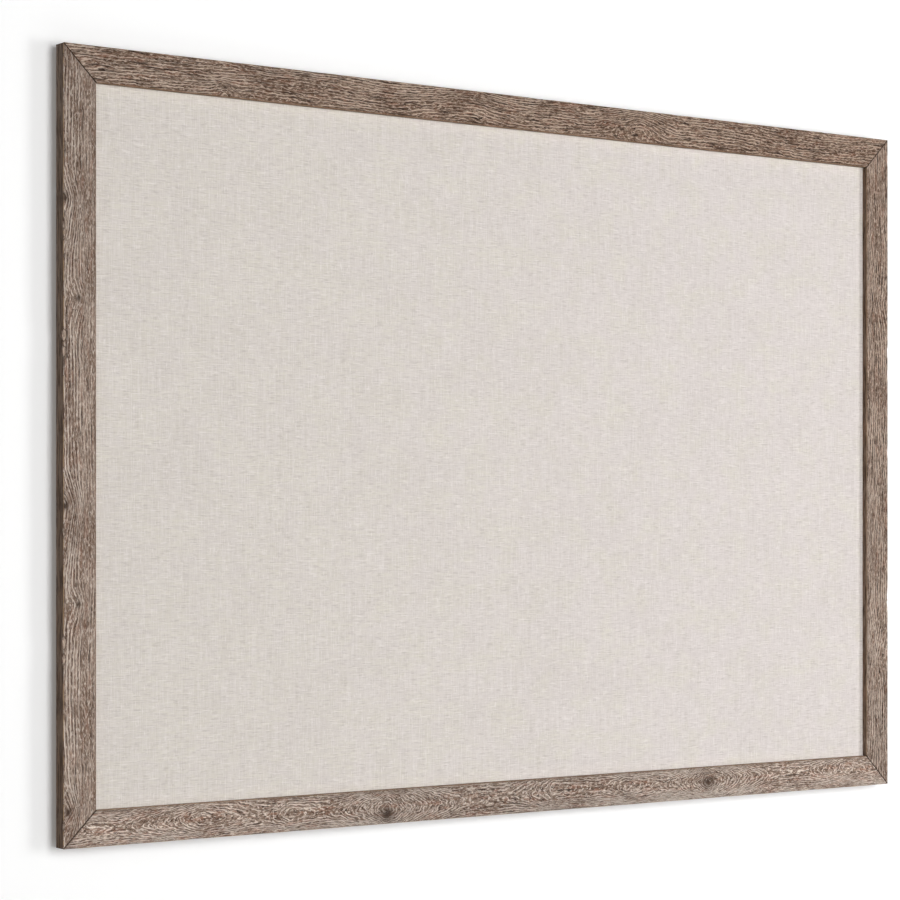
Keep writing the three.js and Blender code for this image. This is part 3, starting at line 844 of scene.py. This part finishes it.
blued = worn_metal("blued_steel", tone(150, 152, 158), tone(108, 110, 118), tone(70, 68, 70), 0.38)
nail = v_nail(blued)
for corner, turn in (("bottom_left", 0), ("bottom_right", -90), ("top_right", -180), ("top_left", -270)):
    turned = Matrix.Rotation(math.radians(turn), 4, "Y")
    for which in ("outer", "inner"):
        node = "v_nail_" + corner + "_" + which
        low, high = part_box(node)
        x = low.x if low.x < 0 else high.x
        z = low.z if low.z < board_middle.z else high.z
        mesh = nail.copy()
        mesh.transform(Matrix.Translation((x, nail_top * mm, z)) @ turned @ Matrix.Scale(mm, 4))
        piece_of(node + "_piece", mesh, node, "board")

# Turn buttons
# Ten pressed plates of brassed steel on the back of the frame. Each turns on its screw over the edge of the
# backing board to hold the panel in, and is stiffened by a rib pressed along its tail.
boss_radius = 5.5
tail_radius = 4.0
button_reach = 17.0
button_thickness = 1.0
button_edge = 0.25
bore_radius = 1.8
head_height = 1.8
rib_start, rib_end, rib_half_width, rib_height = 6.9, 17.0, 1.4, 0.5


def sharp_edges(bm, angle=math.radians(55)):
    return [edge for edge in bm.edges if len(edge.link_faces) == 2 and edge.calc_face_angle() > angle]


def middle_of(node):
    low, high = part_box(node)
    return (low.x + high.x) / 2, (low.z + high.z) / 2


def on_back(shape, name, x, height, z, turn, node, body):
    """Sets a shape, drawn in mm with its front up, on the back of the board with its front to the wall."""
    mesh = shape.copy()
    place = Matrix.Translation((x, height, z)) @ Matrix.Rotation(math.radians(-turn), 4, "Y")
    mesh.transform(place @ Matrix.Rotation(math.radians(-90), 4, "X") @ Matrix.Scale(mm, 4))
    piece = piece_of(name, mesh, node, body)
    even = piece.modifiers.new("even_shading", "WEIGHTED_NORMAL")
    even.keep_sharp = True
    return piece


def turn_button(finish):
    bm = bmesh.new()
    lean = math.asin((boss_radius - tail_radius) / button_reach)

    def arc(centre, radius, start, angle, steps):
        first = bm.verts.new((centre + radius * math.cos(start), radius * math.sin(start), 0))
        spun = bmesh.ops.spin(
            bm,
            geom=[first],
            cent=(centre, 0, 0),
            axis=(0, 0, 1),
            angle=angle,
            steps=steps,
            use_merge=False,
        )
        return first, verts_in(spun["geom_last"])[0]

    boss = arc(0, boss_radius, math.pi / 2 - lean, math.pi + 2 * lean, 22)
    tail = arc(button_reach, tail_radius, -math.pi / 2 + lean, math.pi - 2 * lean, 14)
    sides_of_it = [bm.edges.new((boss[1], tail[0])), bm.edges.new((tail[1], boss[0]))]
    bmesh.ops.subdivide_edges(bm, edges=sides_of_it, cuts=5)
    bmesh.ops.create_circle(bm, segments=len(bm.verts), radius=bore_radius, cap_ends=False)
    bmesh.ops.bridge_loops(bm, edges=bm.edges[:])
    grown = bmesh.ops.extrude_face_region(bm, geom=bm.faces[:])["geom"]
    bmesh.ops.translate(bm, vec=(0, 0, button_thickness), verts=verts_in(grown))
    bmesh.ops.recalc_face_normals(bm, faces=bm.faces)
    rounded(bm, sharp_edges(bm), button_edge, 2)
    lying = Matrix.Translation((rib_start + rib_half_width, 0, button_thickness))
    lying = lying @ Matrix.Diagonal((rib_half_width, rib_half_width, rib_height, 1))
    lying = lying @ Matrix.Rotation(math.radians(90), 4, "Y")
    rib = bmesh.ops.create_uvsphere(bm, u_segments=24, v_segments=12, radius=1, matrix=lying)["verts"]
    far = [vert for vert in rib if vert.co.x > rib_start + rib_half_width + 0.01]
    bmesh.ops.translate(bm, vec=(rib_end - rib_start - 2 * rib_half_width, 0, 0), verts=far)
    return shape_from(bm, "turn_button", finish)


def lathed(bm, outline, steps):
    """Turns an outline of radii and heights right round and closes its seam and poles."""
    spine = [bm.verts.new((radius, 0, height)) for radius, height in outline]
    lines = [bm.edges.new(pair) for pair in zip(spine, spine[1:])]
    bmesh.ops.spin(
        bm,
        geom=spine + lines,
        cent=(0, 0, 0),
        axis=(0, 0, 1),
        angle=2 * math.pi,
        steps=steps,
        use_merge=True,
    )
    bmesh.ops.remove_doubles(bm, verts=bm.verts, dist=0.001)


def cross_screw(finish):
    """A round-headed wood screw with a cross recess and an open thread, drawn from its head's underside."""
    bm = bmesh.new()
    outline = [
        (1.95, 1.60),
        (2.40, 1.40),
        (2.75, 1.06),
        (2.95, 0.66),
        (3.00, 0.30),
        (2.94, 0.00),
        (1.40, 0.00),
        (1.15, -0.50),
        (1.15, -7.40),
        (0.70, -8.90),
        (0.00, -10.0),
    ]
    lathed(bm, outline, 32)
    rim = [edge for edge in bm.edges if edge.is_boundary]
    arm, half, recess_top, recess_floor = 1.55, 0.42, 1.72, 0.52
    quarter = [(arm, -half), (arm, half), (half, half)]
    recess = []
    for quarters in range(4):
        turn = Matrix.Rotation(math.radians(90 * quarters), 4, "Z")
        recess += [bm.verts.new(turn @ Vector((x, y, recess_top))) for x, y in quarter]
    lip = [bm.edges.new((recess[k - 1], recess[k])) for k in range(len(recess))]
    bmesh.ops.bridge_loops(bm, edges=rim + lip)
    grown = bmesh.ops.extrude_edge_only(bm, edges=lip)["geom"]
    sunk = Matrix.Translation((0, 0, recess_floor)) @ Matrix.Diagonal((0.5, 0.5, 0, 1))
    bmesh.ops.transform(bm, matrix=sunk, verts=verts_in(grown))
    bmesh.ops.edgeloop_fill(bm, edges=edges_in(grown))
    bmesh.ops.recalc_face_normals(bm, faces=bm.faces)
    crest = [bm.verts.new(place) for place in ((1.05, 0, -1.25), (1.5, 0, -1.6), (1.05, 0, -1.95))]
    edges = [bm.edges.new((crest[k - 1], crest[k])) for k in range(3)]
    turns, steps, pitch = 5, 14, 1.25
    before = set(bm.faces)
    bmesh.ops.spin(
        bm,
        geom=crest + edges,
        cent=(0, 0, 0),
        axis=(0, 0, 1),
        dvec=(0, 0, -pitch / steps),
        angle=2 * math.pi * turns,
        steps=steps * turns,
        use_merge=False,
    )
    bmesh.ops.holes_fill(bm, edges=[edge for edge in bm.edges if edge.is_boundary], sides=0)
    bmesh.ops.recalc_face_normals(bm, faces=[face for face in bm.faces if face not in before])
    return shape_from(bm, "cross_screw", finish)


brass = worn_metal("brassed_steel_plate", tone(214, 184, 122), tone(190, 156, 92), tone(120, 92, 52), 0.26)
button = turn_button(brass)
button_screw = cross_screw(brass)
for side, count, turn in (("bottom", 3, 90), ("right", 2, 180), ("top", 3, 270), ("left", 2, 0)):
    for number in range(1, count + 1):
        label = side + "_" + str(number)
        node = "turn_button_" + label
        screw_node = "turn_button_screw_" + label
        x, z = middle_of(screw_node)
        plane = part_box(node)[0].y
        on_back(button, node + "_plate", x, plane, z, turn, node, "button_" + label)
        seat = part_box(screw_node)[1].y - head_height * mm
        name = screw_node + "_driven"
        twist = turn + 17 + 31 * number
        on_back(button_screw, name, x, seat, z, twist, screw_node, "board")

# Strap hangers
# Two zinced steel straps on the stiles. Each is cut from sheet, holed for two screws and rolled at its top
# into a knuckle, in which a D ring of bent wire swings.
strap_width = 10.0
strap_thickness = 0.8
strap_edge = 0.14
strap_plane = -4.5
bar_height = -2.4
bar_drop = 11.5
knuckle_roll = 295
hole_drops = (17.75, 29.0)
strap_end = 34.5
wire_radius = 1.0
ring_half_width, ring_shoulder, ring_corner, ring_butt = 8.5, 4.0, 2.0, 0.2


def with_ends(edges):
    return edges + list(dict.fromkeys(vert for edge in edges for vert in edge.verts))


def strap(finish):
    """Drawn as it hangs, seen from the wall: y is up from the hook and z out from the frame."""
    bm = bmesh.new()
    half = strap_width / 2
    start = bm.verts.new((half, half - strap_end, strap_plane))
    spun = bmesh.ops.spin(
        bm,
        geom=[start],
        cent=(0, half - strap_end, 0),
        axis=(0, 0, 1),
        angle=-math.pi,
        steps=20,
        use_merge=False,
    )
    end = verts_in(spun["geom_last"])[0]
    top = [bm.verts.new((side * half, -bar_drop, strap_plane)) for side in (-1, 1)]
    bm.edges.new((end, top[0]))
    bm.edges.new((top[1], start))
    across = bm.edges.new(top)
    bmesh.ops.subdivide_edges(bm, edges=[across], cuts=4)
    for drop in hole_drops:
        bmesh.ops.create_circle(
            bm,
            segments=24,
            radius=bore_radius,
            cap_ends=False,
            matrix=Matrix.Translation((0, -drop, strap_plane)),
        )
    bmesh.ops.triangle_fill(bm, use_beauty=True, use_dissolve=False, edges=bm.edges[:])
    fold = [edge for edge in bm.edges if all(vert.co.y > -bar_drop - 0.01 for vert in edge.verts)]
    bmesh.ops.spin(
        bm,
        geom=with_ends(fold),
        cent=(0, -bar_drop, bar_height),
        axis=(1, 0, 0),
        angle=math.radians(knuckle_roll),
        steps=24,
        use_merge=False,
    )
    bmesh.ops.remove_doubles(bm, verts=bm.verts, dist=0.001)
    bmesh.ops.recalc_face_normals(bm, faces=bm.faces)
    flat = [face for face in bm.faces if face.calc_center_median().y < -bar_drop - 1]
    if flat[0].normal.z > 0:
        bmesh.ops.reverse_faces(bm, faces=bm.faces)
    bmesh.ops.solidify(bm, geom=bm.faces[:], thickness=strap_thickness)
    bmesh.ops.recalc_face_normals(bm, faces=bm.faces)
    rounded(bm, sharp_edges(bm), strap_edge, 2)
    return shape_from(bm, "strap", finish)


def wire_ring(finish):
    """Bent from one length of wire, whose two ends meet inside the knuckle."""
    bm = bmesh.new()
    butt = Matrix.Translation((ring_butt, -bar_drop, bar_height))
    section = butt @ Matrix.Rotation(math.radians(90), 4, "Y")
    bmesh.ops.create_circle(bm, segments=16, radius=wire_radius, cap_ends=False, matrix=section)
    first = bm.edges[:]

    def straight(edges, x, y):
        grown = bmesh.ops.extrude_edge_only(bm, edges=edges)["geom"]
        bmesh.ops.translate(bm, vec=(x, y, 0), verts=verts_in(grown))
        return edges_in(grown)

    def bend(edges, x, y, angle, steps):
        spun = bmesh.ops.spin(
            bm,
            geom=with_ends(edges),
            cent=(x, y, bar_height),
            axis=(0, 0, 1),
            angle=math.radians(angle),
            steps=steps,
            use_merge=False,
        )
        return edges_in(spun["geom_last"])

    run = ring_half_width - ring_corner - ring_butt
    rise_of_side = ring_shoulder - ring_corner
    last = straight(first, run, 0)
    last = bend(last, ring_half_width - ring_corner, ring_corner - bar_drop, 90, 8)
    last = straight(last, 0, rise_of_side)
    last = bend(last, 0, ring_shoulder - bar_drop, 180, 32)
    last = straight(last, 0, -rise_of_side)
    last = bend(last, ring_corner - ring_half_width, ring_corner - bar_drop, 90, 8)
    last = straight(last, run, 0)
    for end in (first, last):
        bmesh.ops.edgeloop_fill(bm, edges=end)
    bmesh.ops.recalc_face_normals(bm, faces=bm.faces)
    return shape_from(bm, "wire_ring", finish, math.radians(50))


zinc = worn_metal("zinced_steel_sheet", tone(206, 208, 210), tone(176, 180, 186), tone(120, 122, 126), 0.3)
strap_shape = strap(zinc)
ring_shape = wire_ring(zinc)
hanger_screw = cross_screw(zinc)
for label in ("left", "right"):
    node = "hanger_strap_" + label
    x, _ = middle_of(node)
    on_back(strap_shape, node + "_sheet", x, 0, 0, 180, node, "board")
    node = "d_ring_" + label
    on_back(ring_shape, node + "_wire", x, 0, 0, 180, node, "ring_" + label)
    for place, twist in (("upper", 25), ("lower", 68)):
        node = "hanger_screw_" + label + "_" + place
        _, z = middle_of(node)
        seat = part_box(node)[1].y - head_height * mm
        on_back(hanger_screw, node + "_driven", x, seat, z, twist, node, "board")

# Wall pads
# Four round pads of soft grey rubber with a slightly dished face. They are stuck on near the corners and
# keep the hardware off the wall.


def soft_rubber():
    made, tree, shader = finish_nodes("soft_rubber", Specular_IOR_Level=0.4)
    place = place_in_mm(tree)
    dust = cloud(tree, place, 4.0, 0.65, 0.8)
    grit = cloud(tree, place, 2.0, 0.6, 5.0)
    rubber = blend(tree, rise(tree, dust, 0.4, 0.65), tone(58, 58, 57), tone(84, 82, 79))
    rubber = blend(tree, rise(tree, grit, 0.62, 0.72, 0, 0.4), rubber, tone(150, 146, 140))
    feed(tree, shader.inputs["Base Color"], rubber)
    feed(tree, shader.inputs["Roughness"], rise(tree, dust, 0.3, 0.7, 0.45, 0.75))
    bumped(tree, shader, calc(tree, "ADD", dust, grit), 0.05 * mm)
    return made


def wall_pad():
    bm = bmesh.new()
    outline = [
        (0, 0),
        (5.2, 0),
        (5.5, 0.3),
        (5.5, 2.4),
        (5.32, 3.2),
        (4.85, 3.9),
        (4.2, 4.36),
        (3.3, 4.5),
        (2.6, 4.5),
        (2.2, 4.42),
        (0, 4.36),
    ]
    lathed(bm, outline, 36)
    bmesh.ops.recalc_face_normals(bm, faces=bm.faces)
    return shape_from(bm, "wall_pad", soft_rubber(), math.radians(60))


pad = wall_pad()
for corner in ("bottom_left", "bottom_right", "top_right", "top_left"):
    node = "bumper_" + corner
    x, z = middle_of(node)
    on_back(pad, node + "_pad", x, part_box(node)[0].y, z, 0, node, "board")
